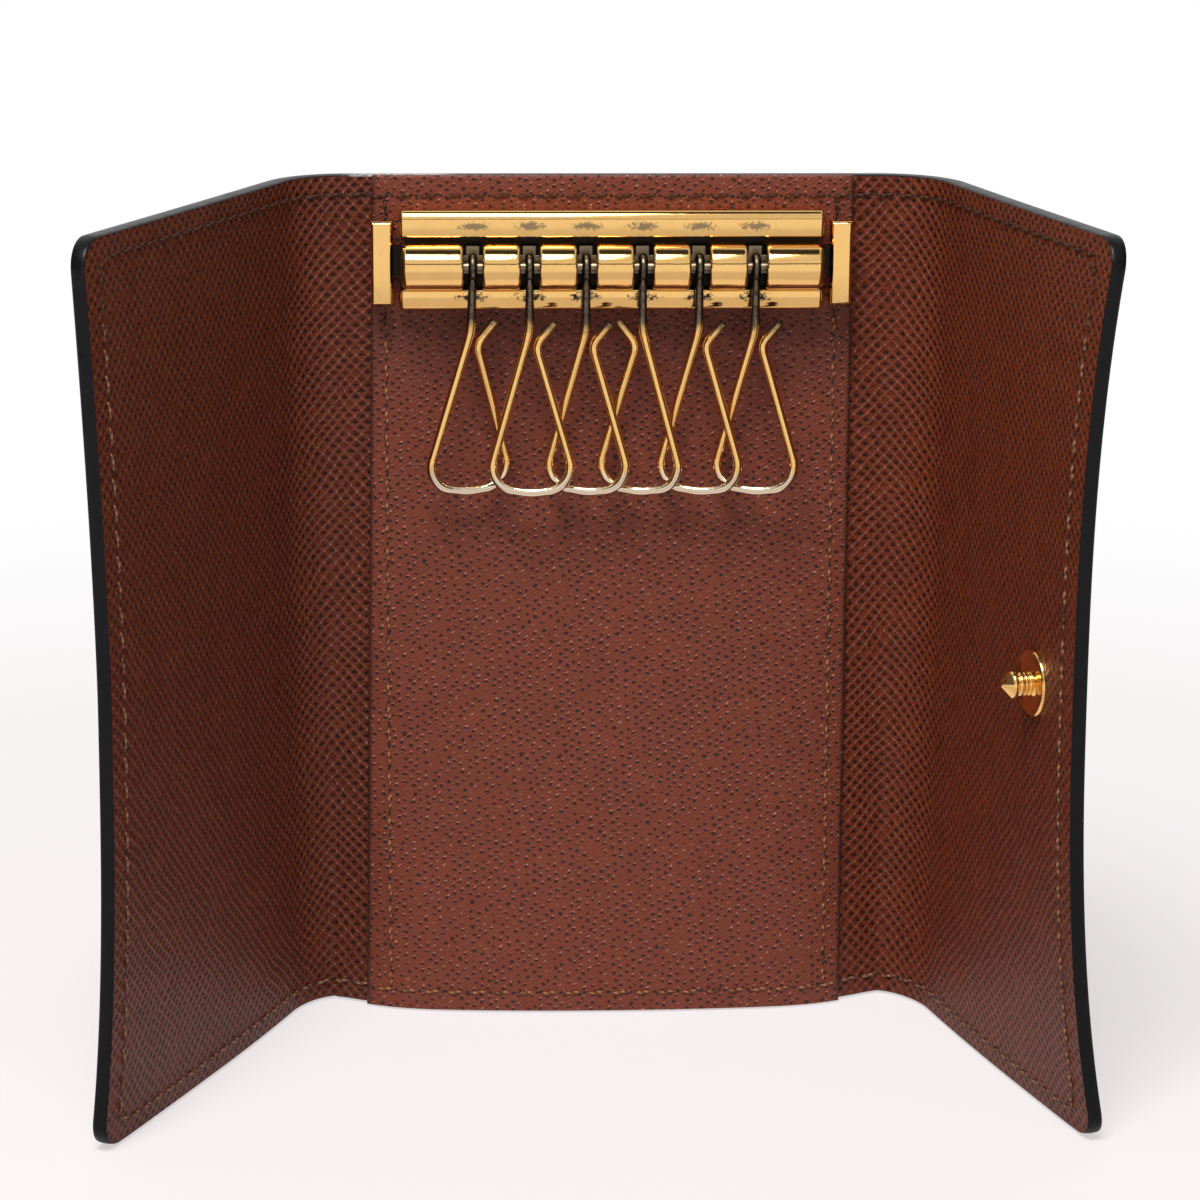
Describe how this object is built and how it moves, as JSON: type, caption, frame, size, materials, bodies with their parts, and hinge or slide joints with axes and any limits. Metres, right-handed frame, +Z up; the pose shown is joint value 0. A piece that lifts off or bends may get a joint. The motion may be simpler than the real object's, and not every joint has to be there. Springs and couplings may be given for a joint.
{
  "type": "key case",
  "caption": "Tri-fold leather key case standing open on its edges, with wire key hooks on a slotted brass bar and a press stud on one wing.",
  "frame": {"origin": "on the ground under the centre panel, in the middle of its sheet's width and thickness", "axes": "+X to the right as seen from the open side, +Y towards the back of the centre panel, +Z up along the folds"},
  "size_m": [0.109, 0.0511, 0.1],
  "materials": {
    "outer_leather": "satin",
    "inner_leather": "satin",
    "patch_leather": "satin",
    "board": "matte",
    "edge_paint": "gloss",
    "gold_metal": "polished",
    "rod_metal": "worn",
    "spring_wire": "satin",
    "backing_metal": "matte"
  },
  "bodies": {
    "centre": {"centre_outer": "outer_leather", "centre_board": "board", "centre_lining": "inner_leather", "centre_patch": "patch_leather", "centre_edge": "edge_paint", "left_fold_outer": "outer_leather", "left_fold_lining": "inner_leather", "right_fold_outer": "outer_leather", "right_fold_lining": "inner_leather", "bar_plate": "gold_metal", "bar_barrel": "gold_metal", "hook_rod": "rod_metal", "leaf_spring": "rod_metal", "left_clip": "gold_metal", "right_clip": "gold_metal", "left_clip_backing": "backing_metal", "right_clip_backing": "backing_metal"},
    "left_wing": {"left_wing_outer": "outer_leather", "left_wing_board": "board", "left_wing_lining": "inner_leather", "left_wing_edge": "edge_paint", "snap_socket": "gold_metal", "snap_spring": "spring_wire", "snap_backing": "backing_metal"},
    "right_wing": {"right_wing_outer": "outer_leather", "right_wing_board": "board", "right_wing_lining": "inner_leather", "right_wing_edge": "edge_paint", "snap_stud": "gold_metal", "snap_cap": "gold_metal"},
    "hook_1_body": {"hook_1": "gold_metal"},
    "hook_2_body": {"hook_2": "gold_metal"},
    "hook_3_body": {"hook_3": "gold_metal"},
    "hook_4_body": {"hook_4": "gold_metal"},
    "hook_5_body": {"hook_5": "gold_metal"},
    "hook_6_body": {"hook_6": "gold_metal"}
  },
  "joints": [
    {"name": "left_fold", "type": "hinge", "parent": "centre", "child": "left_wing", "pos_m": [-0.03325, -0.00546, 0.05], "axis": [0, 0, -1], "range_deg": [-112.6, 67.4], "deforming": ["left_fold_outer", "left_fold_lining"]},
    {"name": "right_fold", "type": "hinge", "parent": "centre", "child": "right_wing", "pos_m": [0.03391, -0.00752, 0.05], "axis": [0, 0, 1], "range_deg": [-101, 75.5], "deforming": ["right_fold_outer", "right_fold_lining"]},
    {"name": "hook_1_swing", "type": "hinge", "parent": "centre", "child": "hook_1_body", "pos_m": [-0.016, -0.0059, 0.0901], "axis": [-1, 0, 0], "range_deg": [0, 150]},
    {"name": "hook_2_swing", "type": "hinge", "parent": "centre", "child": "hook_2_body", "pos_m": [-0.0095, -0.0059, 0.0901], "axis": [-1, 0, 0], "range_deg": [0, 150]},
    {"name": "hook_3_swing", "type": "hinge", "parent": "centre", "child": "hook_3_body", "pos_m": [-0.003, -0.0059, 0.0901], "axis": [-1, 0, 0], "range_deg": [0, 150]},
    {"name": "hook_4_swing", "type": "hinge", "parent": "centre", "child": "hook_4_body", "pos_m": [0.0035, -0.0059, 0.0901], "axis": [-1, 0, 0], "range_deg": [0, 150]},
    {"name": "hook_5_swing", "type": "hinge", "parent": "centre", "child": "hook_5_body", "pos_m": [0.01, -0.0059, 0.0901], "axis": [-1, 0, 0], "range_deg": [0, 150]},
    {"name": "hook_6_swing", "type": "hinge", "parent": "centre", "child": "hook_6_body", "pos_m": [0.0165, -0.0059, 0.0901], "axis": [-1, 0, 0], "range_deg": [0, 150]}
  ]
}
